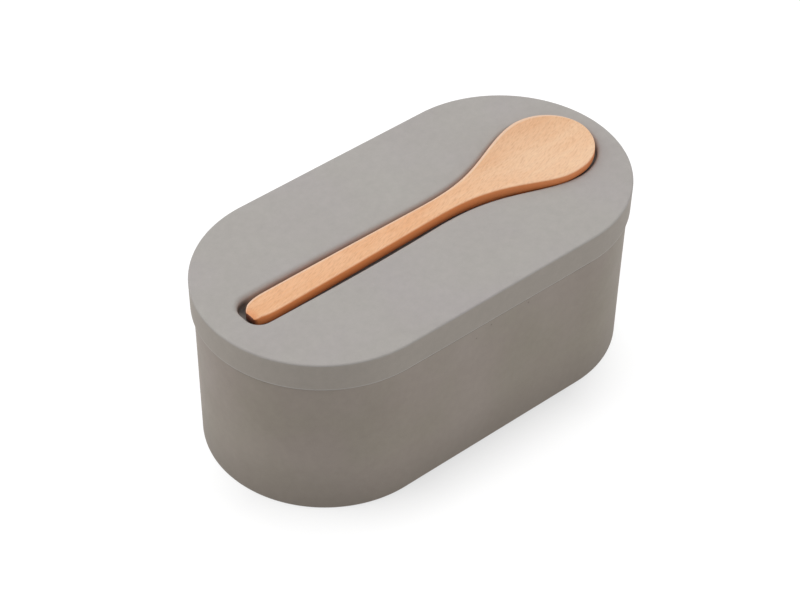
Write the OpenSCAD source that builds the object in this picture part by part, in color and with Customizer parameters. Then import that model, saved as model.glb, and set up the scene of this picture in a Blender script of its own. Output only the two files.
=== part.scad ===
// Salt cellar: a long cast-cement box with round ends, a heavy lid that drops
// into its mouth, and a small wooden spoon that lies in a recess in the lid.
// X runs along the box toward the spoon's bowl, Z is up, and the origin is on
// the table under the middle of the box. All sizes are in millimetres.

/* [Lid] */
// Length of the lid over its two round ends
lid_length = 140.7; // [125:0.1:170]
// Width of the lid, which is also the diameter of its round ends
lid_width = 73.4; // [60:0.2:95]
// Thickness of the lid at its edge
lid_thickness = 9.4; // [7:0.1:14]
// Distance that the lid's edge leans in from its top to its underside
lid_lean = 0.2; // [0:0.1:1]
// Radius of the lid's upper edge
lid_upper_round = 0.5; // [0.3:0.1:3]
// Radius of the lid's lower edge
lid_lower_round = 0.3; // [0.2:0.1:1.5]
// Depth of the step under the lid that drops into the base
step_depth = 4; // [2:0.5:8]
// Clearance all round between the step and the base's inner wall
step_gap = 0.8; // [0.4:0.1:1.5]
// Radius of the step's lower edge
step_round = 1; // [0.4:0.1:2]

/* [Base] */
// Height of the base from the table to its rim
base_height = 46.9; // [36:0.1:70]
// Overhang of the lid's top past the base along the straight sides
side_overhang = 0.55; // [0:0.05:2.5]
// Overhang of the lid's top past the base at the round ends
end_overhang = 1.2; // [0:0.1:3]
// Distance that the outer wall leans in from the rim to the table
base_lean = 0.8; // [0:0.1:2]
// Thickness of the base's wall at its rim
wall_thickness = 6; // [4:0.5:9]
// Thickness of the base's floor
floor_thickness = 6; // [4:0.5:10]
// Radius between the inner wall and the floor
cavity_round = 5; // [1:0.5:10]
// Radius of the rim's outer edge
rim_round = 0.6; // [0.2:0.1:1.5]
// Radius of the edge that stands on the table
foot_round = 0.5; // [0.2:0.1:1.5]

/* [Recess in the lid] */
// Depth of the recess below the lid's top face
recess_depth = 3.5; // [2.5:0.1:5]
// Land between the recess and the lid's end beside the spoon's handle
handle_land = 9.4; // [6:0.1:20]
// Land between the recess and the lid's end beside the spoon's bowl
bowl_land = 5.4; // [4:0.1:15]
// Gap between the recess and the end of the handle
end_gap = 1.9; // [0.5:0.1:3]
// Gap between the recess and the tip of the bowl
tip_gap = 0.9; // [0.5:0.1:2]
// Gap beside the handle at its end, on each side
handle_gap = 2.15; // [0.5:0.05:3]
// Gap beside the neck, on each side
neck_gap = 1.9; // [0.5:0.05:3]
// Gap beside the widest part of the bowl, on each side
bowl_gap = 0.45; // [0.3:0.05:2]
// Radius of the recess's corners beside the handle's end, seen from above
recess_corner = 4; // [1:0.1:4.5]
// Radius of the recess's upper edge
recess_upper_round = 1.2; // [0.4:0.1:2]
// Radius between the recess's wall and its floor
recess_floor_round = 0.8; // [0.2:0.1:1.2]

/* [Spoon] */
// Width of the handle at its end
handle_width = 8.2; // [6.5:0.1:10]
// Width of the neck, where the handle is narrowest
neck_width = 6.4; // [4.5:0.1:8]
// Distance of the neck from the end of the handle
neck_distance = 64; // [50:0.2:75]
// Width of the bowl
bowl_width = 27.9; // [22:0.1:34]
// Distance of the bowl's widest part from its tip
bowl_nose = 14.4; // [11:0.1:18]
// Radius of the corners at the end of the handle, seen from above
handle_corner = 3; // [1:0.1:3.1]
// Thickness of the spoon at the end of the handle
handle_thickness = 3.7; // [2.8:0.1:5]
// Thickness of the spoon at the tip of the bowl
bowl_thickness = 5.8; // [4:0.05:8]
// Height of the arch under the neck
neck_arch = 0.5; // [0:0.1:1]
// Depth of the hollow in the bowl
hollow_depth = 1.8; // [0.5:0.1:2.2]
// Width of the flat rim round the hollow
rim_width = 0.8; // [0.4:0.1:1.5]
// Height of the bowl's upright side below its rim
bowl_side = 1.9; // [1:0.1:2.5]
// Radius of the spoon's upper edges
spoon_upper_round = 0.35; // [0.1:0.05:0.6]
// Radius of the handle's lower edges
handle_lower_round = 0.9; // [0.3:0.1:1.2]

/* [Hidden] */

// Shades of the cement and the wood
lid_color = [0.64, 0.63, 0.61];
base_color = [0.55, 0.52, 0.49];
wood_color = [0.87, 0.64, 0.44];

// One overrun serves every cut
overrun = 1;

// Sizes of the base that follow the lid
base_length = lid_length - 2 * end_overhang;
base_width = lid_width - 2 * side_overhang;
base_straight = base_length - base_width;
base_end_radius = base_width / 2;
cavity_radius = base_end_radius - wall_thickness;
step_radius = cavity_radius - step_gap;
lid_straight = lid_length - lid_width;
lid_end_radius = lid_width / 2;
lid_top = base_height + lid_thickness;

// The recess runs from land to land, and the spoon fills it but for its gaps
recess_end = handle_land - lid_length / 2;
recess_tip = lid_length / 2 - bowl_land;
recess_floor = lid_top - recess_depth;
spoon_end = recess_end + end_gap;
spoon_tip = recess_tip - tip_gap;
spoon_length = spoon_tip - spoon_end;
neck_x = spoon_end + neck_distance;
bowl_x = spoon_tip - bowl_nose;

// Power that sets how late the handle narrows toward the neck
taper_power = 1.4;
// Power that sets how late the bowl flares out of the neck
flare_power = 1.39;
// Power that sets how full the bowl's nose is underneath
nose_power = 2.4;
// Share of the bowl's half width that lies flat on the recess's floor
belly_flat_share = 0.3;
// Places across the hollow, as shares of its half width
hollow_shares = [0.15, 0.38, 0.6, 0.8, 0.94, 1];

// Steps along each rounded stretch
edge_steps = 5;
corner_steps = 5;
handle_steps = 8;
flare_steps = 16;
nose_steps = 11;
upper_steps = 2;
// The nose's last section stands this many degrees short of the tip
nose_turn = 85;
// A right angle and a half turn
quarter = 90;
half_turn = 180;
// Facets of a full circle on the round ends
$fn = 96;

// Points of an arc about (cx, cy), from angle a to angle b
function arc(cx, cy, r, a, b, steps) = [
    for (k = [0 : steps])
        let (t = a + (b - a) * k / steps)
        [cx + r * cos(t), cy + r * sin(t)]
];

// Points of an outline with the ones on the axis left out, from last to first
function mirrored(points) = [
    for (k = [len(points) - 1 : -1 : 0])
        if (points[k][0] != 0)
            [-points[k][0], points[k][1]]
];

// Share of the way from neck to bowl at x, from 0 to 1 with soft ends
function flare(x, from_x, to_x) =
    let (u = min(1, max(0, (x - from_x) / (to_x - from_x))))
    (1 - cos(half_turn * pow(u, flare_power))) / 2;

// Solid with two round ends: an outline of half its width, turned at each end
// and drawn straight between them
module long_round(outline, straight) {
    for (side = [-1, 1])
        translate([side * straight / 2, 0, 0])
            rotate([0, 0, -side * quarter])
                rotate_extrude(angle = half_turn)
                    polygon(outline);
    rotate([quarter, 0, quarter])
        linear_extrude(height = straight, center = true)
            polygon(concat(outline, mirrored(outline)));
}

// Base: one casting, with the salt's cavity open at the top
module base() {
    foot_radius = base_end_radius - base_lean;
    outer = concat(
        [[0, 0]],
        arc(foot_radius - foot_round, foot_round, foot_round, -quarter, 0, edge_steps),
        arc(base_end_radius - rim_round, base_height - rim_round, rim_round, 0, quarter, edge_steps),
        [[0, base_height]]
    );
    inner = concat(
        [[0, floor_thickness]],
        arc(cavity_radius - cavity_round, floor_thickness + cavity_round, cavity_round,
            -quarter, 0, edge_steps),
        [[cavity_radius, base_height + overrun], [0, base_height + overrun]]
    );
    color(base_color)
        difference() {
            long_round(outer, base_straight);
            long_round(inner, base_straight);
        }
}

// Points down one side of the spoon or its recess, seen from above, from the
// handle's end to the tip
function side_points(end_x, tip_x, end_half, neck_half, bowl_half, corner) = concat(
    [
        for (k = [0 : corner_steps])
            let (a = quarter * k / corner_steps)
            [end_x + corner * (1 - cos(a)), end_half - corner * (1 - sin(a))]
    ],
    [
        for (k = [1 : handle_steps - 1])
            let (u = k / handle_steps, from_x = end_x + corner)
            [
                from_x + (neck_x - from_x) * u,
                end_half + (neck_half - end_half) * pow(u, taper_power)
            ]
    ],
    [
        for (k = [0 : flare_steps])
            let (x = neck_x + (bowl_x - neck_x) * k / flare_steps)
            [x, neck_half + (bowl_half - neck_half) * flare(x, neck_x, bowl_x)]
    ],
    [
        for (k = [1 : nose_steps])
            let (a = nose_turn * k / nose_steps)
            [bowl_x + (tip_x - bowl_x) * sin(a), bowl_half * cos(a)]
    ]
);

// Outline of the recess, moved outward by a distance
function recess_outline(out) =
    let (
        side = side_points(
            recess_end - out,
            recess_tip + out,
            handle_width / 2 + handle_gap + out,
            neck_width / 2 + neck_gap + out,
            bowl_width / 2 + bowl_gap + out,
            recess_corner + out
        )
    )
    concat(
        side,
        [for (k = [len(side) - 1 : -1 : 0]) [side[k][0], -side[k][1]]]
    );

// Closed skin over rings with the same even count of points. Each ring runs out
// along one side and back along the other, so strips from side to side close its ends
module skin(rings) {
    count = len(rings[0]);
    last = (len(rings) - 1) * count;
    polyhedron(
        points = [for (ring = rings) each ring],
        faces = concat(
            [
                for (k = [0 : count / 2 - 2])
                    let (a = k, b = k + 1, c = count - 2 - k, d = count - 1 - k)
                    each [[c, b, a], [d, c, a]]
            ],
            [
                for (j = [0 : len(rings) - 2])
                    for (k = [0 : count - 1])
                        let (a = j * count + k, b = j * count + (k + 1) % count)
                        each [[a, b, b + count], [a, b + count, a + count]]
            ],
            [
                for (k = [0 : count / 2 - 2])
                    let (a = last + k, b = a + 1, d = last + count - 1 - k, c = d - 1)
                    each [[a, b, c], [a, c, d]]
            ]
        ),
        convexity = 4
    );
}

// What the recess takes out of the lid, with its floor and edge rounded
module recess_space() {
    // Distance outward and height of each ring, from the floor up
    levels = concat(
        [
            for (k = [0 : edge_steps])
                let (a = quarter * k / edge_steps)
                [
                    recess_floor_round * (sin(a) - 1),
                    recess_floor + recess_floor_round * (1 - cos(a))
                ]
        ],
        [
            for (k = [0 : edge_steps])
                let (a = quarter * k / edge_steps)
                [
                    recess_upper_round * (1 - cos(a)),
                    lid_top - recess_upper_round * (1 - sin(a))
                ]
        ],
        [[recess_upper_round, lid_top + overrun]]
    );
    skin([
        for (level = levels)
            [for (p = recess_outline(level[0])) [p[0], p[1], level[1]]]
    ]);
}

// Lid: one casting, with a step below that drops into the base's mouth
module lid() {
    low_radius = lid_end_radius - lid_lean;
    slab = concat(
        [[0, base_height]],
        arc(low_radius - lid_lower_round, base_height + lid_lower_round, lid_lower_round,
            -quarter, 0, edge_steps),
        arc(lid_end_radius - lid_upper_round, lid_top - lid_upper_round, lid_upper_round,
            0, quarter, edge_steps),
        [[0, lid_top]]
    );
    step_low = base_height - step_depth;
    step_high = base_height + overrun;
    step = concat(
        [[0, step_low]],
        arc(step_radius - step_round, step_low + step_round, step_round, -quarter, 0, edge_steps),
        [[step_radius, step_high], [0, step_high]]
    );
    color(lid_color)
        difference() {
            union() {
                long_round(slab, lid_straight);
                long_round(step, base_straight);
            }
            recess_space();
        }
}

// Places along the spoon at which its sections stand, each with its half width
function spoon_sides() = side_points(
    spoon_end, spoon_tip, handle_width / 2, neck_width / 2, bowl_width / 2, handle_corner
);

// Section of the spoon at x, with half width h: across its top from one edge to
// the other, and back below
function section(x, h) =
    let (
        along = (x - spoon_end) / spoon_length,
        bowl_share = flare(x, neck_x, bowl_x),
        nose = max(0, (x - bowl_x) / bowl_nose),
        rise = pow(1 - pow(nose, nose_power), 1 / nose_power),
        thickness = handle_thickness + (bowl_thickness - handle_thickness) * along,
        top = recess_floor + thickness,
        handle_side = handle_thickness - handle_lower_round,
        side = handle_side + (bowl_side - handle_side) * bowl_share,
        arch = neck_arch * pow(sin(half_turn * along), 2) * (1 - bowl_share),
        belly = (thickness - side) * rise - arch,
        round_share = handle_lower_round / h,
        flat_share = (1 - round_share) * (1 - bowl_share) + belly_flat_share * bowl_share,
        hollow = hollow_depth * bowl_share * (1 - pow(nose, 2)),
        edge = spoon_upper_round,
        inner = h - edge - (rim_width - edge) * min(1, h / neck_width),
        upper = concat(
            [for (s = hollow_shares) [inner * s, top - hollow * (1 - s * s)]],
            arc(h - edge, top - edge, edge, quarter, 0, upper_steps)
        ),
        steps = len(upper) - 1,
        lower = [
            for (k = [0 : steps])
                let (a = quarter * k / steps)
                [
                    h * (flat_share + (1 - flat_share) * cos(a)),
                    top - side - belly * sin(a)
                ]
        ]
    )
    concat(
        [for (k = [steps : -1 : 0]) [x, -upper[k][0], upper[k][1]]],
        [for (q = upper) [x, q[0], q[1]]],
        [for (q = lower) [x, q[0], q[1]]],
        [for (k = [steps : -1 : 0]) [x, -lower[k][0], lower[k][1]]]
    );

// Spoon: one piece of wood, with a flat handle and a shallow bowl
module spoon() {
    color(wood_color)
        skin([for (p = spoon_sides()) section(p[0], p[1])]);
}

base();
lid();
spoon();
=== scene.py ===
import math

import bpy
import numpy as np
from mathutils import Matrix, Vector, noise


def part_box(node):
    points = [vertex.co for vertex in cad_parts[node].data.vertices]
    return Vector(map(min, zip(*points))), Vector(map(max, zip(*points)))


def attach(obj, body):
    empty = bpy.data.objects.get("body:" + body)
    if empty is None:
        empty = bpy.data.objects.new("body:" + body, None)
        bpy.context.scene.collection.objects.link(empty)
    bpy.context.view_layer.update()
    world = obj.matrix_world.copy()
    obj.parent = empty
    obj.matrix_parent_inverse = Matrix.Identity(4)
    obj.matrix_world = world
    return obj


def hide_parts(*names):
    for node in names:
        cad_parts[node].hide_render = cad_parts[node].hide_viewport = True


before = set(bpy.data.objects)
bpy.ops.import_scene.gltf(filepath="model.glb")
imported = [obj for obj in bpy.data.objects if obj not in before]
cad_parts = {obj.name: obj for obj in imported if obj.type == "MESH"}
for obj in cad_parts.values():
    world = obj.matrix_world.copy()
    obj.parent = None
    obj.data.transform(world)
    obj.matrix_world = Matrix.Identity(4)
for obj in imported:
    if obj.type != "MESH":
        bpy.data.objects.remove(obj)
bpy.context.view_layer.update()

# A cast-cement salt box with a wooden spoon in its lid.
# Sizes in the dictionaries are millimetres unless they say otherwise, and mm turns them into metres.
mm = 0.001
baseHigh = np.array(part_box("base")[1]) / mm
lidLow, lidHigh = (np.array(corner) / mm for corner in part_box("lid"))
spoonLow, spoonHigh = (np.array(corner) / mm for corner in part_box("spoon"))
rimZ = baseHigh[2]
lidTopZ = lidHigh[2]
print("frame loaded: lid top at", round(lidTopZ, 2), "mm")


# Mesh tools

meshDetail = {
    "endArc": 76,  # segments in a quarter of a round end
    "straight": 88,  # segments along a straight side
    "edge": 8,  # segments across a rounded edge
    "wall": 12,  # segments up a wall
    "lidTop": (0.02, 0.15, 0.35, 0.6, 0.85, 0.98),  # rings on the lid, as shares of the way out
    "recessCorner": 13,  # points round each corner at the recess's end
    "nose": 44,  # sections round the bowl's nose
    "noseStop": 89.4,  # degrees round it at which they stop, just short of the tip
    "handle": 60,  # sections along the handle, and as many where the bowl flares
    "spoonCorner": 24,  # sections round the corners at the handle's end
    "across": 18,  # points across half of the spoon's top
    "acrossStart": 4,  # degrees off its middle line at which they start
    "spoonEdge": 5,  # points across the spoon's upper edge
}
ringCount = 2 * (2 * meshDetail["endArc"] + meshDetail["straight"])


def quarterArc(centre, radius, start, stop):
    # (distance in from the outline, height) along an arc, from start to stop degrees
    angles = np.radians(np.linspace(start, stop, meshDetail["edge"] + 1))
    return [(centre[0] - radius * math.cos(a), centre[1] + radius * math.sin(a)) for a in angles]


def longRound(halfLength, halfWidth):
    # outline with round ends, from the middle of the handle's end along the near side
    straight = halfLength - halfWidth
    arc = np.radians(np.linspace(180, 270, meshDetail["endArc"] + 1))
    left = np.column_stack([halfWidth * np.cos(arc) - straight, halfWidth * np.sin(arc)])
    xs = np.linspace(-straight, straight, meshDetail["straight"] + 1)[1:-1]
    middle = np.column_stack([xs, np.full(len(xs), -halfWidth)])
    right = np.column_stack([-left[::-1, 0], left[::-1, 1]])
    near = np.vstack([left, middle, right])
    far = near[-2:0:-1] * (1, -1)
    return np.vstack([near, far])


def evenRing(points, count):
    # the closed outline again, with count points at even spaces
    closed = np.vstack([points, points[:1]])
    run = np.concatenate([[0], np.cumsum(np.linalg.norm(np.diff(closed, axis=0), axis=1))])
    at = np.linspace(0, run[-1], count, endpoint=False)
    return np.column_stack([np.interp(at, run, closed[:, 0]), np.interp(at, run, closed[:, 1])])


def outward(ring):
    # unit normals of a closed outline that runs anticlockwise
    along = np.roll(ring, -1, axis=0) - np.roll(ring, 1, axis=0)
    along /= np.linalg.norm(along, axis=1)[:, None]
    return np.column_stack([along[:, 1], -along[:, 0]])


def atHeight(ring, z):
    return np.column_stack([ring, np.full(len(ring), float(z))])


def profileRings(halfLength, halfWidth, profile):
    # a ring with round ends for each (distance in, height) of the profile
    return [atHeight(longRound(halfLength - inset, halfWidth - inset), z) for inset, z in profile]


def capFaces(first, count, onAxis, flip):
    # strips from side to side that close a ring; onAxis says that it starts on the middle line
    offset = 0 if onAxis else 1
    faces = []
    for k in range(count // 2 - offset):
        corners = (k, k + 1, (count - k - 1 - offset) % count, (count - k - offset) % count)
        faces.append(tuple(first + corner for corner in dict.fromkeys(corners)))
    return [face[::-1] for face in faces] if flip else faces


def addPiece(name, data):
    thing = bpy.data.objects.new(name, data)
    bpy.context.scene.collection.objects.link(thing)
    return thing


def skinOver(name, rings, material, onAxis=True):
    # one closed mesh over rings with the same count of points
    count = len(rings[0])
    points = np.vstack(rings) * mm
    faces = capFaces(0, count, onAxis, True)
    for j in range(len(rings) - 1):
        low, high = j * count, (j + 1) * count
        for k in range(count):
            side = (k + 1) % count
            faces.append((low + k, low + side, high + side, high + k))
    faces += capFaces((len(rings) - 1) * count, count, onAxis, False)
    mesh = bpy.data.meshes.new(name)
    mesh.from_pydata([tuple(p) for p in points], [], faces)
    mesh.validate()
    mesh.materials.append(material)
    mesh.shade_smooth()
    return addPiece(name, mesh)


def markPoints(piece, name, values):
    # a number for each point of the mesh, for the material to read
    attribute = piece.data.attributes.new(name, "FLOAT", "POINT")
    attribute.data.foreach_set("value", values)


def markRings(piece, name, values):
    # the same number for all the points of a ring
    markPoints(piece, name, np.repeat(values, ringCount))


def waver(rings, shape):
    # moves the points in by up to a hair, as a cast wall is never quite true
    shift = Vector((shape["waverSeed"], 0, 0))
    for ring in rings:
        push = outward(ring[:, :2])
        for k, point in enumerate(ring):
            amount = (noise.noise(Vector(point) / shape["waverReach"] + shift) - 1) / 2
            ring[k, :2] += push[k] * shape["waver"] * amount
    return rings


# Material tools

bumpDepth = 0.1  # the height that a bump of 1 stands for


def newMaterial(name):
    material = bpy.data.materials.new(name)
    material.use_nodes = True
    material.node_tree.nodes.clear()
    return material, material.node_tree


def setSocket(tree, socket, value):
    if isinstance(value, bpy.types.NodeSocket):
        tree.links.new(value, socket)
    else:
        socket.default_value = value


def addNode(tree, kind, **values):
    # values are sockets by name, with underscores for spaces: a number, a colour or a link
    node = tree.nodes.new(kind)
    for key, value in values.items():
        setSocket(tree, node.inputs[key.replace("_", " ")], value)
    return node


def linear(red, green, blue):
    # screen colour of 0 to 255 to the renderer's linear colour, by the usual screen curve
    parts = [c / 255 for c in (red, green, blue)]
    return tuple(c / 12.92 if c <= 0.04045 else ((c + 0.055) / 1.055) ** 2.4 for c in parts) + (1,)


def noiseAt(tree, where, scale, detail, roughness):
    values = {"Vector": where, "Scale": scale, "Detail": detail, "Roughness": roughness}
    return addNode(tree, "ShaderNodeTexNoise", **values).outputs["Fac"]


def remap(tree, value, low, high, toLow, toHigh):
    values = {"Value": value, "From_Min": low, "From_Max": high, "To_Min": toLow, "To_Max": toHigh}
    return addNode(tree, "ShaderNodeMapRange", **values).outputs["Result"]


def mathNode(tree, kind, first, second):
    node = tree.nodes.new("ShaderNodeMath")
    node.operation = kind
    setSocket(tree, node.inputs[0], first)
    setSocket(tree, node.inputs[1], second)
    return node.outputs[0]


def blendColor(tree, share, first, second, kind="MIX"):
    # the node has its share at socket 0 and its colours at 6 and 7
    node = tree.nodes.new("ShaderNodeMix")
    node.data_type = "RGBA"
    node.blend_type = kind
    for socket, value in ((0, share), (6, first), (7, second)):
        setSocket(tree, node.inputs[socket], value)
    return node.outputs[2]


def marked(tree, name):
    # a number that the mesh carries for each point
    attribute = tree.nodes.new("ShaderNodeAttribute")
    attribute.attribute_name = name
    return attribute.outputs["Fac"]


def finishMaterial(tree, color, roughness, height, look):
    bump = addNode(tree, "ShaderNodeBump", Height=height, Strength=look["bump"], Distance=bumpDepth * mm)
    surface = addNode(tree, "ShaderNodeBsdfPrincipled", Base_Color=color, Roughness=roughness)
    tree.links.new(bump.outputs[0], surface.inputs["Normal"])
    surface.inputs["Specular IOR Level"].default_value = look["specular"]
    addNode(tree, "ShaderNodeOutputMaterial", Surface=surface.outputs[0])


# Cement

lidCement = {
    "name": "lidCement",
    "color": (179, 175, 170),  # colours of 0 to 255
    "cloudColor": (176, 171, 167),
    "lowColor": (179, 171, 162),  # the band round its edge is warmer
    "tintColor": (179, 173, 172),
    "tintShare": 0.6,
    "pinColor": (96, 90, 85),
    "cloudScale": 30,  # texture scales are per metre
    "pinScale": 200,
    "pinShare": 0.05,  # share of the cells that hold a pinhole
    "pinSize": (0.03, 0.07),  # smallest and largest, as shares of a cell
    "pinShade": 0.5,
    "spots": [],  # larger pinholes: x, y, z and radius
    "paleEdgeColor": (200, 197, 192),  # the pale line along the lower edge
    "paintedShadeColor": (98, 95, 92),  # painted shade on the recess's floor and round its end
    "roughness": (0.58, 0.66),
    "bump": 0.3,
    "specular": 0.3,
}

baseCement = {
    "name": "baseCement",
    "color": (171, 160, 151),
    "cloudColor": (163, 152, 142),
    "lowColor": (149, 139, 129),  # painted shade, darker toward the table
    "tintColor": (160, 153, 138),  # olive patches
    "tintShare": 0.55,
    "pinColor": (84, 78, 73),
    "cloudScale": 24,
    "pinScale": 190,
    "pinShare": 0.08,
    "pinSize": (0.03, 0.07),
    "pinShade": 0.5,
    "spots": [(10.2, -36.1, 45.2, 0.4), (-3.6, -36.1, 45.0, 0.4), (-8.9, -36.1, 43.0, 0.35)],
    "paleEdgeColor": (190, 182, 174),
    "paintedShadeColor": (92, 84, 76),  # painted shade on the rim's outer edge, in the seam under the lid
    "roughness": (0.54, 0.64),
    "bump": 0.35,
    "specular": 0.4,
}

# what both cements share: a noise is its detail and roughness,
# and a range says where in the noise one end turns into the other
cementGrain = {
    "cloudNoise": (5, 0.6),
    "cloudRange": (0.35, 0.68),
    "tintScale": 34,
    "tintNoise": (3, 0.5),
    "tintRange": (0.45, 0.68),
    "mottleScale": 420,
    "mottleNoise": (5, 0.6),
    "mottleRange": (0.3, 0.7),
    "mottleShade": (0.965, 1.03),  # the colour is multiplied by these
    "grainScale": 2600,
    "grainNoise": (3, 0.6),
    "grainRange": (0.25, 0.75),
    "grainShade": (-0.025, 0.025),  # added to mottleShade
    "pinSlope": 0.45,  # a pinhole is at its darkest from this share of its depth on
    "spotShade": 0.45,  # how dark the larger pinholes are
    "spotCore": 0.35,  # the share of their radius that is darkest
    "roughRange": (0.3, 0.7),
    "grainRelief": 0.35,  # how much grain, mottle and pinholes count in the bump
    "mottleRelief": 0.65,
    "pinRelief": 5.0,
}


def makeCement(look):
    grains = cementGrain
    material, tree = newMaterial(look["name"])
    place = addNode(tree, "ShaderNodeTexCoord").outputs["Object"]
    cloud = noiseAt(tree, place, look["cloudScale"], *grains["cloudNoise"])
    mottle = noiseAt(tree, place, grains["mottleScale"], *grains["mottleNoise"])
    grain = noiseAt(tree, place, grains["grainScale"], *grains["grainNoise"])
    share = remap(tree, cloud, *grains["cloudRange"], 0, 1)
    color = blendColor(tree, share, linear(*look["color"]), linear(*look["cloudColor"]))
    tint = noiseAt(tree, place, grains["tintScale"], *grains["tintNoise"])
    tintShare = remap(tree, tint, *grains["tintRange"], 0, look["tintShare"])
    color = blendColor(tree, tintShare, color, linear(*look["tintColor"]))
    # the lid's band is warmer, and the base has painted shade toward the table
    color = blendColor(tree, marked(tree, "low"), color, linear(*look["lowColor"]))
    mottleShade = remap(tree, mottle, *grains["mottleRange"], *grains["mottleShade"])
    grainShade = remap(tree, grain, *grains["grainRange"], *grains["grainShade"])
    shade = mathNode(tree, "ADD", mottleShade, grainShade)
    color = blendColor(tree, 1.0, color, shade, "MULTIPLY")
    # the pale line on the lid's lower edge, and the painted shade in the lid's recess and in the seam on
    # the base's rim
    for mark in ("paleEdge", "paintedShade"):
        color = blendColor(tree, marked(tree, mark), color, linear(*look[mark + "Color"]))

    # pinholes left by air: a few cells hold one, each of its own size
    cells = addNode(tree, "ShaderNodeTexVoronoi", Vector=place, Scale=look["pinScale"])
    pick = addNode(tree, "ShaderNodeSeparateColor", Color=cells.outputs["Color"])
    holds = mathNode(tree, "LESS_THAN", pick.outputs[0], look["pinShare"])
    size = remap(tree, pick.outputs[1], 0, 1, *look["pinSize"])
    depth = mathNode(tree, "SUBTRACT", 1.0, mathNode(tree, "DIVIDE", cells.outputs["Distance"], size))
    pin = mathNode(tree, "MULTIPLY", mathNode(tree, "MAXIMUM", depth, 0.0), holds)
    pin = remap(tree, pin, 0, grains["pinSlope"], 0, look["pinShade"])

    # and the few larger ones, each at its own place
    for x, y, z, radius in look["spots"]:
        gap = tree.nodes.new("ShaderNodeVectorMath")
        gap.operation = "DISTANCE"
        tree.links.new(place, gap.inputs[0])
        gap.inputs[1].default_value = (x * mm, y * mm, z * mm)
        core = grains["spotCore"] * radius * mm
        spot = remap(tree, gap.outputs["Value"], core, radius * mm, grains["spotShade"], 0)
        pin = mathNode(tree, "MAXIMUM", pin, spot)
    color = blendColor(tree, pin, color, linear(*look["pinColor"]))

    fine = mathNode(tree, "MULTIPLY", grain, grains["grainRelief"])
    coarse = mathNode(tree, "MULTIPLY", mottle, grains["mottleRelief"])
    pits = mathNode(tree, "MULTIPLY", pin, grains["pinRelief"])
    relief = mathNode(tree, "SUBTRACT", mathNode(tree, "ADD", fine, coarse), pits)
    roughness = remap(tree, cloud, *grains["roughRange"], *look["roughness"])
    finishMaterial(tree, color, roughness, relief, look)
    return material


# Wood

spoonWood = {
    "name": "spoonWood",
    "handleColor": (243, 188, 142),
    "bowlColor": (245, 203, 163),
    "bowlBlend": (0, 42),  # the one turns into the other between these places along the spoon
    "farShadeColor": (236, 182, 138),  # painted shade: the far side of the bowl's hollow is more orange
    "farShadeBlend": (1, 13),  # and turns so between these, across the spoon
    "farShare": 0.7,
    "bandColor": (230, 162, 106),
    "bandScale": (55, 240, 240),  # per metre, along, across and up
    "bandNoise": (4, 0.55),  # detail and roughness
    "bandRange": (0.42, 0.66),  # the noise between these
    "bandShare": (0, 0.4),  # gives these shares of the colour
    "bowlBands": 0.45,  # how strong they are in the bowl, against the handle
    "streakScale": (160, 1500, 1500),
    "streakNoise": (4, 0.6),
    "streakRange": (0.3, 0.7),
    "streakShare": (-0.12, 0.24),  # added to bandShare
    "fleckColor": (208, 130, 78),
    "fleckScale": (520, 2900, 2900),
    "fleckNoise": (2, 0.5),
    "fleckRange": (0.5, 0.76),
    "fleckShare": (0, 0.26),
    "fleckTurn": 20,  # degrees that the flecks lie across the spoon
    "fineRange": (0.3, 0.7),
    "fineShade": (1.05, 0.96),  # pale and dark of the finest grain
    "sideColor": (226, 126, 58),
    "sideShare": 0.8,
    "endColor": (100, 50, 28),  # the dark cut end, and painted shade low on the sides
    "paleEdgeColor": (246, 212, 184),  # painted highlight along the top's edges
    "fleckRelief": 0.8,  # how deep the flecks are in the bump, against the streaks
    "roughRange": (0.3, 0.7),
    "roughness": (0.42, 0.56),
    "bump": 0.3,
    "specular": 0.45,
}


def stretched(tree, place, scale, turn=0.0):
    mapping = addNode(tree, "ShaderNodeMapping", Vector=place)
    mapping.vector_type = "TEXTURE"
    mapping.inputs["Scale"].default_value = [1 / s for s in scale]
    mapping.inputs["Rotation"].default_value = (0, 0, math.radians(turn))
    return mapping.outputs[0]


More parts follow.
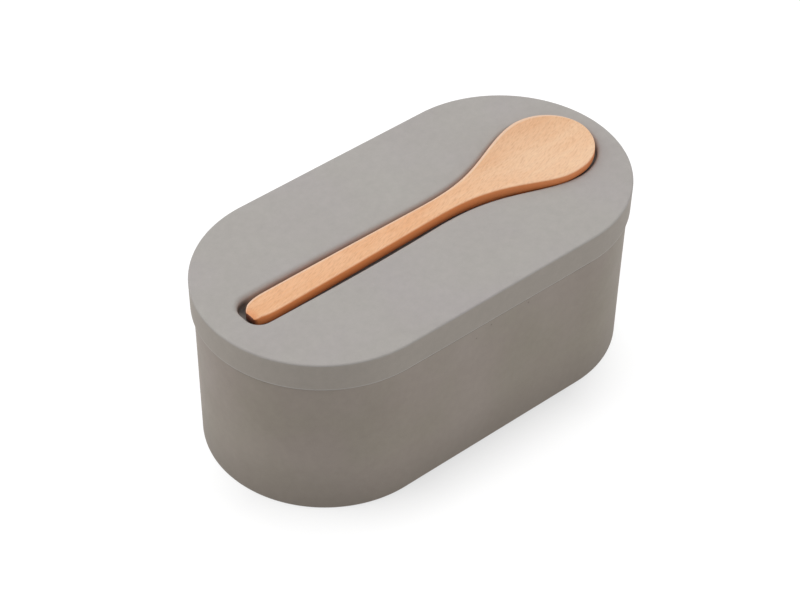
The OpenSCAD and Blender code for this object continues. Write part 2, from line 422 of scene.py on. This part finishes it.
def makeWood(look):
    material, tree = newMaterial(look["name"])
    place = addNode(tree, "ShaderNodeTexCoord").outputs["Object"]
    bands = noiseAt(tree, stretched(tree, place, look["bandScale"]), 1.0, *look["bandNoise"])
    streaks = noiseAt(tree, stretched(tree, place, look["streakScale"]), 1.0, *look["streakNoise"])
    turned = stretched(tree, place, look["fleckScale"], look["fleckTurn"])
    flecks = noiseAt(tree, turned, 1.0, *look["fleckNoise"])
    axes = addNode(tree, "ShaderNodeSeparateXYZ", Vector=place)
    bowlShare = remap(tree, axes.outputs[0], *(x * mm for x in look["bowlBlend"]), 0, 1)
    color = blendColor(tree, bowlShare, linear(*look["handleColor"]), linear(*look["bowlColor"]))
    # painted shade on the far side of the bowl's hollow
    farShare = remap(tree, axes.outputs[1], *(y * mm for y in look["farShadeBlend"]), 0, look["farShare"])
    farShare = mathNode(tree, "MULTIPLY", farShare, bowlShare)
    color = blendColor(tree, farShare, color, linear(*look["farShadeColor"]))
    bandShare = remap(tree, bands, *look["bandRange"], *look["bandShare"])
    streakShare = remap(tree, streaks, *look["streakRange"], *look["streakShare"])
    calm = remap(tree, bowlShare, 0, 1, 1, look["bowlBands"])
    bandShare = mathNode(tree, "MULTIPLY", mathNode(tree, "ADD", bandShare, streakShare), calm)
    color = blendColor(tree, bandShare, color, linear(*look["bandColor"]))
    fleckShare = remap(tree, flecks, *look["fleckRange"], *look["fleckShare"])
    color = blendColor(tree, fleckShare, color, linear(*look["fleckColor"]))
    fine = remap(tree, flecks, *look["fineRange"], *look["fineShade"])
    color = blendColor(tree, 1.0, color, fine, "MULTIPLY")

    # side is 0 on the top, 1 on the side and 2 where it is darkest, at the cut end; between 1 and 2 low
    # on the sides it is painted shade, and paleEdge is the painted highlight along the top's edges
    side = marked(tree, "side")
    sideColor = blendColor(tree, look["sideShare"], color, linear(*look["sideColor"]))
    color = blendColor(tree, side, color, sideColor)
    color = blendColor(tree, remap(tree, side, 1, 2, 0, 1), color, linear(*look["endColor"]))
    color = blendColor(tree, marked(tree, "paleEdge"), color, linear(*look["paleEdgeColor"]))
    pits = mathNode(tree, "MULTIPLY", fleckShare, look["fleckRelief"])
    relief = mathNode(tree, "SUBTRACT", streaks, pits)
    roughness = remap(tree, streaks, *look["roughRange"], *look["roughness"])
    finishMaterial(tree, color, roughness, relief, look)
    return material


# Base

baseShape = {
    "lean": 0.8,  # the outer wall leans in this far from rim to table
    "wall": 6.0,  # how thick the wall is
    "floor": 6.0,
    "cavityRound": 5.0,  # the rounding between them
    "rimRound": 0.6,
    "innerRimRound": 0.5,
    "footRound": 0.5,
    "waver": 0.1,  # the wall wavers in by up to this
    "waverReach": 22,  # over about this distance
    "waverSeed": 3,
    "seamShade": 0.45,  # how dark the painted shade on the rim's outer edge is, from 0 to 1
    "seamSkip": 2,  # rings of it that stay unshaded, next to the wall
    "lowHeight": 16,  # the painted shade toward the table fades over this height
}


def makeBase(material):
    shape = baseShape
    lean, foot, rim = shape["lean"], shape["footRound"], shape["rimRound"]
    wall, inner, cavity = shape["wall"], shape["innerRimRound"], shape["cavityRound"]
    steps = meshDetail["wall"]
    profile = quarterArc((lean + foot, foot), foot, -90, 0)
    wallHeights = np.linspace(foot, rimZ - rim, steps)[1:-1]
    profile += [(lean * (1 - (z - foot) / (rimZ - foot)), z) for z in wallHeights]
    profile += quarterArc((rim, rimZ - rim), rim, 0, 90)
    profile += quarterArc((wall - inner, rimZ - inner), -inner, -90, 0)
    profile += [(wall, z) for z in np.linspace(rimZ - inner, shape["floor"] + cavity, steps)[1:-1]]
    for a in np.radians(np.linspace(0, 90, steps)):
        profile.append((wall + cavity * (1 - math.cos(a)), shape["floor"] + cavity * (1 - math.sin(a))))
    rings = waver(profileRings(baseHigh[0], baseHigh[1], profile), shape)
    piece = skinOver("saltBoxBase", rings, material)

    # where shade is painted on the rim's outer edge in the seam, and how far down the wall each ring is
    rimStart = meshDetail["edge"] + 1 + len(wallHeights)
    paintedShade = np.zeros(len(rings))
    paintedShade[rimStart + shape["seamSkip"] : rimStart + meshDetail["edge"]] = shape["seamShade"]
    markRings(piece, "paintedShade", paintedShade)
    low = np.zeros(len(rings))
    low[:rimStart] = [np.clip(1 - z / shape["lowHeight"], 0, 1) for _, z in profile[:rimStart]]
    markRings(piece, "low", low)
    return piece


# Lid

recessShape = {
    "depth": 3.5,
    "handleLand": 9.4,  # from the recess to the lid's end, beside the handle
    "bowlLand": 5.4,  # and beside the bowl
    "neckHalf": 4.98,  # half its width at the neck
    "near": {
        "half": 5.85,  # half its width at the handle's end
        "corner": 4.2,  # radius of the corner there
        "taper": 2.8,  # how late it narrows to the neck
        "bulge": 0.25,  # how far it stands out halfway
        "flare": 1.4,  # how late it widens to the bowl
        "bowlHalf": 14.2,  # half its width there
    },
    "far": {
        "half": 6.05,
        "corner": 5.0,
        "taper": 1.4,
        "bulge": 0,
        "flare": 1.5,
        "bowlHalf": 14.4,
    },
    "nearRound": 1.0,  # the upper edge's rounding, nearest to the viewer and farthest
    "farRound": 1.5,
    "floorRound": 0.8,
    "floorShade": 0.55,  # how dark the painted shade on its floor is, from 0 to 1
    "darkCorner": (-57.5, 6.0),  # and the painted shade grows to the full dark round this place
    "darkReach": 4.0,  # from this far off
    "darkGrowth": 1.5,  # above 1 it is full some way before the place
}

lidShape = {
    "lean": 0.2,  # the edge leans in this far from top to underside
    "upperRound": 0.5,
    "lowerRound": 0.35,
    "lipPaleLine": 0.8,  # how pale the line along the lower edge is, from 0 to 1
    "lipFade": 0.25,  # and it fades out over this height
    "stepGap": 0.8,  # between the step and the base's inner wall
    "stepRound": 1.0,
    "waver": 0.06,
    "waverReach": 20,
    "waverSeed": 9,
}

spoonShape = {
    "handleWidth": 8.2,
    "neckWidth": 6.4,
    "neckFromEnd": 64.0,
    "taperPower": 1.4,  # how late the handle narrows to the neck
    "bowlWidth": 27.7,
    "bowlShift": 0.1,  # the bowl stands this far to the near side
    "flarePower": 1.39,  # how late the neck widens to the bowl
    "nearSwing": 0.28,  # the near side of the flare stands in by this at first, and then out
    "swingPower": 2.2,  # how late
    "farDip": 0.25,  # and the far side stands in by this, near the bowl
    "dipPower": 3,
    "noseLength": 14.4,
    "noseShift": 0.3,  # its tip stands this far back to the far side
    "nosePower": 2.4,  # how full the nose is underneath
    "outlinePower": 2.0,  # and seen from above, where 2 is an ellipse
    "leastHalf": 0.12,  # half width at the tip
    "endThickness": 3.7,
    "tipThickness": 5.8,
    "arch": 0.5,  # the handle's underside rises by this in the middle
    "hollow": 1.8,  # depth of the bowl's hollow
    "rim": 0.8,  # from the hollow to the outline
    "bowlSide": 1.9,  # height of the side at the bowl
    "upperRound": 0.35,
    "lowerRound": 1.3,
    "bellyFlat": 0.3,  # the share of the bowl's width that is flat underneath
    "farCorner": (7.5, 3.1),  # length and depth of the far corner's curve at the end
    "nearCorner": (7.0, 2.2),
    "endDrop": 0.9,  # the top edge at the handle's end is cut this low
    "endRun": 1.7,  # over this length
    "endLip": 0.02,  # the end face stands out by this, to keep its own colour
    "endBevelShade": 0.65,  # painted shade: how orange the cut at the handle's end is, from 0 to 1
    "endDark": 0.9,  # the dark of the end face fades over this length
    "lowerShade": 1.15,  # painted shade: how dark the sides grow toward the recess's floor, from 1 to 2
    "darkPower": 0.5,  # how soon: less is sooner
    "farHighlight": 0.75,  # how strong the painted highlight along the edges is, from 0 to 1
    "nearHighlight": 0.1,
    "highlightBand": 0.03,  # the outer share of the top that carries the painted highlight
}
neckX = spoonLow[0] + spoonShape["neckFromEnd"]
bowlX = spoonHigh[0] - spoonShape["noseLength"]


def flareShare(x):
    # share of the way from the neck to the bowl
    return np.clip((x - neckX) / (bowlX - neckX), 0, 1)


def flare(x, power):
    # and the same with soft ends
    return (1 - np.cos(np.pi * flareShare(x) ** power)) / 2


def taper(x, fromX, power):
    # share of the way from the handle's end to the neck
    return np.clip((x - fromX) / (neckX - fromX), 0, 1) ** power


def recessSide(side):
    # one side of the recess seen from above, from the middle of the handle's end to the tip
    shape = recessShape
    corner, half, neck, bowlHalf = side["corner"], side["half"], shape["neckHalf"], side["bowlHalf"]
    endX = lidLow[0] + shape["handleLand"]
    tipX = lidHigh[0] - shape["bowlLand"]
    turn = np.radians(np.linspace(0, 90, meshDetail["recessCorner"]))
    xs = [endX] + list(endX + corner * (1 - np.cos(turn)))
    ys = [0] + list(half - corner * (1 - np.sin(turn)))
    handleX = np.linspace(endX + corner, neckX, meshDetail["handle"])[1:-1]
    xs += list(handleX)
    narrowed = taper(handleX, endX + corner, side["taper"])
    bulge = side["bulge"] * np.sin(np.pi * taper(handleX, endX + corner, 1))
    ys += list(half + (neck - half) * narrowed + bulge)
    flareX = np.linspace(neckX, bowlX, meshDetail["handle"])
    xs += list(flareX)
    ys += list(neck + (bowlHalf - neck) * flare(flareX, side["flare"]))
    nose = np.radians(np.linspace(0, 90, meshDetail["nose"]))[1:]
    xs += list(bowlX + (tipX - bowlX) * np.sin(nose))
    ys += list(bowlHalf * np.cos(nose))
    ys[-1] = 0
    return np.column_stack([xs, ys])


def recessOutline():
    near = recessSide(recessShape["near"]) * (1, -1)
    far = recessSide(recessShape["far"])[-2:0:-1]
    return evenRing(np.vstack([near, far]), ringCount)


def makeLid(material):
    shape, hollow, edgeSteps = lidShape, recessShape, meshDetail["edge"]
    outline = recessOutline()
    push = outward(outline)
    floorZ, floorRound = lidTopZ - hollow["depth"], hollow["floorRound"]
    farShare = (1 + push[:, 1:]) / 2
    topRound = hollow["nearRound"] + (hollow["farRound"] - hollow["nearRound"]) * farShare
    turns = np.radians(np.linspace(0, 90, edgeSteps + 1))
    rings = []
    for a in turns:
        inner = outline - push * floorRound * (1 - math.sin(a))
        rings.append(atHeight(inner, floorZ + floorRound * (1 - math.cos(a))))
    for a in turns:
        outer = outline + push * topRound * (1 - math.cos(a))
        rings.append(np.column_stack([outer, lidTopZ - topRound * (1 - math.sin(a))]))
    recessPoints = len(rings) * ringCount

    # the flat top, from the recess's edge to the lid's own edge
    upper, lower, lean = shape["upperRound"], shape["lowerRound"], shape["lean"]
    inside = rings[-1][:, :2]
    outside = longRound(lidHigh[0] - upper, lidHigh[1] - upper)
    for share in meshDetail["lidTop"]:
        rings.append(atHeight(inside + (outside - inside) * share, lidTopZ))

    # the band round the lid
    profile = quarterArc((upper, lidTopZ - upper), upper, 90, 0)
    bandFall = rimZ + lower - lidTopZ + upper
    for share in np.linspace(0, 1, meshDetail["wall"])[1:-1]:
        profile.append((lean * share, lidTopZ - upper + bandFall * share))
    profile.append((lean, rimZ + lower + shape["lipFade"]))
    profile += quarterArc((lean + lower, rimZ + lower), lower, 0, -90)
    band = waver(profileRings(lidHigh[0], lidHigh[1], profile), shape)

    # the step below drops into the base's mouth
    stepZ, stepEdge = lidLow[2], shape["stepRound"]
    back = baseShape["wall"] + shape["stepGap"]
    stepProfile = [(0, rimZ), (0, (rimZ + stepZ) / 2)]
    stepProfile += quarterArc((stepEdge, stepZ + stepEdge), stepEdge, 0, -90)
    step = profileRings(baseHigh[0] - back, baseHigh[1] - back, stepProfile)
    rings += band + step
    piece = skinOver("saltBoxLid", rings, material)

    # where the lower edge's pale line is, where the band's colour lies and where shade is painted in the
    # recess
    paleEdge, low, paintedShade = (np.zeros(len(rings)) for _ in range(3))
    lip = len(rings) - len(step) - edgeSteps - 1
    paleEdge[lip : lip + edgeSteps // 2 + 1] = shape["lipPaleLine"]
    low[-len(step) - len(band) + edgeSteps :] = 1
    paintedShade[: edgeSteps // 2] = hollow["floorShade"]
    markRings(piece, "paleEdge", paleEdge)
    markRings(piece, "low", low)
    # painted shade, at its darkest round the recess's far corner at the handle's end
    points = np.vstack(rings)
    close = 1 - np.linalg.norm(points[:, :2] - hollow["darkCorner"], axis=1) / hollow["darkReach"]
    deep = (lidTopZ - hollow["nearRound"] - points[:, 2]) / hollow["nearRound"]
    dark = np.clip(hollow["darkGrowth"] * close, 0, 1) * np.clip(deep, 0, 1)
    dark[recessPoints:] = 0
    markPoints(piece, "paintedShade", np.maximum(np.repeat(paintedShade, ringCount), dark))
    return piece


# Spoon


def cornerCut(distance, corner):
    # how far the handle's outline stands in from its full width near the end
    length, depth = corner
    inside = np.clip(1 - distance / length, 0, 1)
    return depth * (1 - math.sqrt(1 - inside ** 2))


def roundedOff(nose, power):
    # 1 where the nose starts and 0 at its tip
    return max(0.0, 1 - nose ** power) ** (1 / power)


def spoonSection(x):
    # the ring of points at x, over the top and back below: x, y, z, how sideways and how strong the
    # painted highlight is
    shape = spoonShape
    distance = x - spoonLow[0]
    along = distance / (spoonHigh[0] - spoonLow[0])
    bowl = float(flare(x, shape["flarePower"]))
    nose = max(0.0, (x - bowlX) / shape["noseLength"])
    narrowed = taper(x, spoonLow[0], shape["taperPower"])
    half = (shape["handleWidth"] + (shape["neckWidth"] - shape["handleWidth"]) * narrowed) / 2
    half += (shape["bowlWidth"] - shape["neckWidth"]) / 2 * bowl
    half *= roundedOff(nose, shape["outlinePower"])
    swing = shape["nearSwing"] * math.sin(2 * math.pi * flareShare(x) ** shape["swingPower"])
    dip = shape["farDip"] * math.sin(math.pi * flareShare(x) ** shape["dipPower"])
    nearHalf = half - cornerCut(distance, shape["nearCorner"]) - swing
    farHalf = half - cornerCut(distance, shape["farCorner"]) - dip
    cut = max(0.0, 1 - distance / shape["endRun"])
    thickness = shape["endThickness"] + (shape["tipThickness"] - shape["endThickness"]) * along
    thickness -= shape["endDrop"] * cut
    top = spoonLow[2] + thickness
    handleSide = shape["endThickness"] - shape["lowerRound"]
    side = handleSide + (shape["bowlSide"] - handleSide) * bowl
    arch = shape["arch"] * math.sin(math.pi * along) ** 2 * (1 - bowl)
    belly = (thickness - side) * roundedOff(nose, shape["nosePower"]) - arch
    hollow = shape["hollow"] * bowl * (1 - nose ** 2)
    shift = shape["noseShift"] * nose ** 2 - shape["bowlShift"] * bowl
    bevelShade = shape["endBevelShade"] * cut
    darker = max(0.0, 1 - distance / shape["endDark"])

    def halfPoints(reach, highlight):
        # one side's points above and below, from the middle out: y, z, how sideways and how strong the
        # painted highlight is
        edge = min(shape["upperRound"], reach / 2)
        roundShare = min(1.0, shape["lowerRound"] / reach)
        flat = (1 - roundShare) * (1 - bowl) + shape["bellyFlat"] * bowl
        inner = max(0.0, reach - edge - (shape["rim"] - edge) * min(1.0, reach / shape["neckWidth"]))
        highlight *= 1 - bevelShade
        angles = np.radians(np.linspace(meshDetail["acrossStart"], 90, meshDetail["across"]))
        upper = []
        for share in np.sin(angles):
            bandHighlight = highlight * max(0, (share - (1 - shape["highlightBand"])) / shape["highlightBand"])
            upper.append((inner * share, top - hollow * (1 - share * share), bevelShade, bandHighlight))
        for a in np.radians(np.linspace(90, 0, meshDetail["spoonEdge"])):
            turned = 1 - math.sin(a)
            out, up = edge * math.cos(a) - edge, edge * math.sin(a) - edge
            sideways = max(bevelShade, turned + darker * turned)
            upper.append((reach + out, top + up, sideways, highlight * (1 - turned)))
        lower = []
        for a in np.radians(np.linspace(0, 90, len(upper))):
            out, down = reach * (flat + (1 - flat) * math.cos(a)), side + belly * math.sin(a)
            sideways = shape["lowerShade"] * math.cos(a) ** shape["darkPower"] + darker
            lower.append((out, top - down, sideways, 0))
        return upper, lower

    farUpper, farLower = halfPoints(max(farHalf, shape["leastHalf"]), shape["farHighlight"])
    nearUpper, nearLower = halfPoints(max(nearHalf, shape["leastHalf"]), shape["nearHighlight"])
    ring = [(x, shift - y, z, s, w) for y, z, s, w in nearUpper[::-1]]
    ring += [(x, shift + y, z, s, w) for y, z, s, w in farUpper + farLower]
    ring += [(x, shift - y, z, s, w) for y, z, s, w in nearLower[::-1]]
    return np.array(ring)


def makeSpoon(material):
    end, tip = spoonLow[0], spoonHigh[0]
    corner = spoonShape["farCorner"][0]
    turns = np.radians(np.linspace(0, 90, meshDetail["spoonCorner"]))
    places = list(end + corner * (1 - np.cos(turns)))
    places += list(np.linspace(end + corner, neckX, meshDetail["handle"])[1:])
    places += list(np.linspace(neckX, bowlX, meshDetail["handle"])[1:])
    turns = np.radians(np.linspace(0, meshDetail["noseStop"], meshDetail["nose"]))
    places += list(bowlX + (tip - bowlX) * np.sin(turns))[1:]
    sections = [spoonSection(x) for x in places]

    # the end face is the darkest, and the tip is all side
    endFace = sections[0].copy()
    endFace[:, 3:] = (2, 0)
    sections[0][:, 0] += spoonShape["endLip"]
    sections[-1][:, 3:] = (1, 0)
    sections.insert(0, endFace)
    piece = skinOver("saltSpoon", [ring[:, :3] for ring in sections], material, onAxis=False)
    markPoints(piece, "side", np.concatenate([ring[:, 3] for ring in sections]))
    markPoints(piece, "paleEdge", np.concatenate([ring[:, 4] for ring in sections]))
    return piece


lidPiece = makeLid(makeCement(lidCement))
basePiece = makeBase(makeCement(baseCement))
spoonPiece = makeSpoon(makeWood(spoonWood))
for piece, node, slot in (
    (basePiece, "base", "base_cement"),
    (lidPiece, "lid", "lid_cement"),
    (spoonPiece, "spoon", "spoon_wood"),
):
    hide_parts(node)
    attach(piece, node)
print("pieces made: base, lid and spoon")


# Floor, light and camera

studio = {
    "floorHalf": 3.0,  # metres
    "floorColor": (137, 137, 137),
    "floorLift": 0.875,  # added for the camera alone, so that the open floor reads white
    "contactShade": 0.56,  # how much of the lift is lost close to the object's foot
    "contactReach": 17,  # how far out that fades
    "contactNear": (14, -12),  # it grows to its full between these depths, toward the near side
    "contactLeft": (-55, -28),  # and between these places along the box, from contactLeast
    "contactLeast": 0.62,
    "contactRight": (27, 62),  # and it fades out between these
    "worldStrength": 0.35,  # as light; the camera sees 1
}

# each panel points at the object: place and size in metres, power in watts
panels = [
    {"name": "leftPanel", "place": (-0.865, 0.754, 0.8), "size": 1.0, "power": 7.0},
    {"name": "backPanel", "place": (0.65, 0.746, 1.0), "size": 1.4, "power": 6.7},
    {"name": "frontPanel", "place": (-0.753, -0.865, 0.8), "size": 1.0, "power": 4.1},
    {"name": "rightPanel", "place": (1.03, -0.9, 0.3), "size": 0.9, "power": 5.4},
]

photoView = {
    "azimuth": -41.123,  # degrees
    "elevation": 42.143,
    "roll": 0.898,
    "distance": 716.18,
    "aim": (-12.716, -8.372, 40.089),
    "lens": 115.393,
    "sensor": 36.0,
    "clipStart": 10,
}


def seenDirectly(tree):
    # 1 for rays from the camera, and for what shines or shows through
    rays = addNode(tree, "ShaderNodeLightPath")
    seen = mathNode(tree, "MAXIMUM", rays.outputs["Is Camera Ray"], rays.outputs["Is Glossy Ray"])
    return mathNode(tree, "MAXIMUM", seen, rays.outputs["Is Transmission Ray"])


def makeFloor():
    half = studio["floorHalf"]
    mesh = bpy.data.meshes.new("studioFloor")
    corners = [(-half, -half, 0), (half, -half, 0), (half, half, 0), (-half, half, 0)]
    mesh.from_pydata(corners, [], [(0, 1, 2, 3)])
    floor = addPiece("studioFloor", mesh)
    material, tree = newMaterial("paleFloor")
    diffuse = addNode(tree, "ShaderNodeBsdfDiffuse", Color=linear(*studio["floorColor"]))
    nearby = addNode(tree, "ShaderNodeAmbientOcclusion", Distance=studio["contactReach"] * mm)
    covered = mathNode(tree, "SUBTRACT", 1.0, nearby.outputs["AO"])
    place = addNode(tree, "ShaderNodeTexCoord").outputs["Object"]
    along, depth, _ = addNode(tree, "ShaderNodeSeparateXYZ", Vector=place).outputs
    shade = mathNode(tree, "MULTIPLY", covered, studio["contactShade"])
    for axis, key, first, last in (
        (depth, "contactNear", 0, 1),
        (along, "contactLeft", studio["contactLeast"], 1),
        (along, "contactRight", 1, 0),
    ):
        ends = [end * mm for end in studio[key]]
        shade = mathNode(tree, "MULTIPLY", shade, remap(tree, axis, *ends, first, last))
    glow = mathNode(tree, "MULTIPLY", mathNode(tree, "SUBTRACT", 1.0, shade), studio["floorLift"])
    strength = mathNode(tree, "MULTIPLY", seenDirectly(tree), glow)
    lift = addNode(tree, "ShaderNodeEmission", Strength=strength)
    both = tree.nodes.new("ShaderNodeAddShader")
    tree.links.new(diffuse.outputs[0], both.inputs[0])
    tree.links.new(lift.outputs[0], both.inputs[1])
    addNode(tree, "ShaderNodeOutputMaterial", Surface=both.outputs[0])
    mesh.materials.append(material)


def makeLight():
    world = bpy.data.worlds.new("studioWorld")
    bpy.context.scene.world = world
    world.use_nodes = True
    tree = world.node_tree
    tree.nodes.clear()
    strength = remap(tree, seenDirectly(tree), 0, 1, studio["worldStrength"], 1.0)
    back = addNode(tree, "ShaderNodeBackground", Color=(1, 1, 1, 1), Strength=strength)
    addNode(tree, "ShaderNodeOutputWorld", Surface=back.outputs[0])
    for panel in panels:
        data = bpy.data.lights.new(panel["name"], "AREA")
        data.size = panel["size"]
        data.energy = panel["power"]
        place = Vector(panel["place"])
        lamp = addPiece(panel["name"], data)
        turn = (-place).to_track_quat("-Z", "Y").to_matrix().to_4x4()
        lamp.matrix_world = Matrix.Translation(place) @ turn


def makeCamera():
    azimuth, elevation, roll = (math.radians(photoView[key]) for key in ("azimuth", "elevation", "roll"))
    level = Vector((math.cos(azimuth), math.sin(azimuth), 0))
    toward = Vector((-math.sin(azimuth), math.cos(azimuth), 0))
    back = Vector((0, 0, math.sin(elevation))) - toward * math.cos(elevation)
    upright = back.cross(level)
    right = level * math.cos(roll) + upright * math.sin(roll)
    up = upright * math.cos(roll) - level * math.sin(roll)
    data = bpy.data.cameras.new("photoCamera")
    data.lens = photoView["lens"]
    data.sensor_width = photoView["sensor"]
    data.clip_start = photoView["clipStart"] * mm
    camera = addPiece("photoCamera", data)
    place = (Vector(photoView["aim"]) + back * photoView["distance"]) * mm
    camera.matrix_world = Matrix.Translation(place) @ Matrix((right, up, back)).transposed().to_4x4()
    bpy.context.scene.camera = camera


makeFloor()
makeLight()
makeCamera()
bpy.context.scene.view_settings.view_transform = "Standard"
print("studio made")
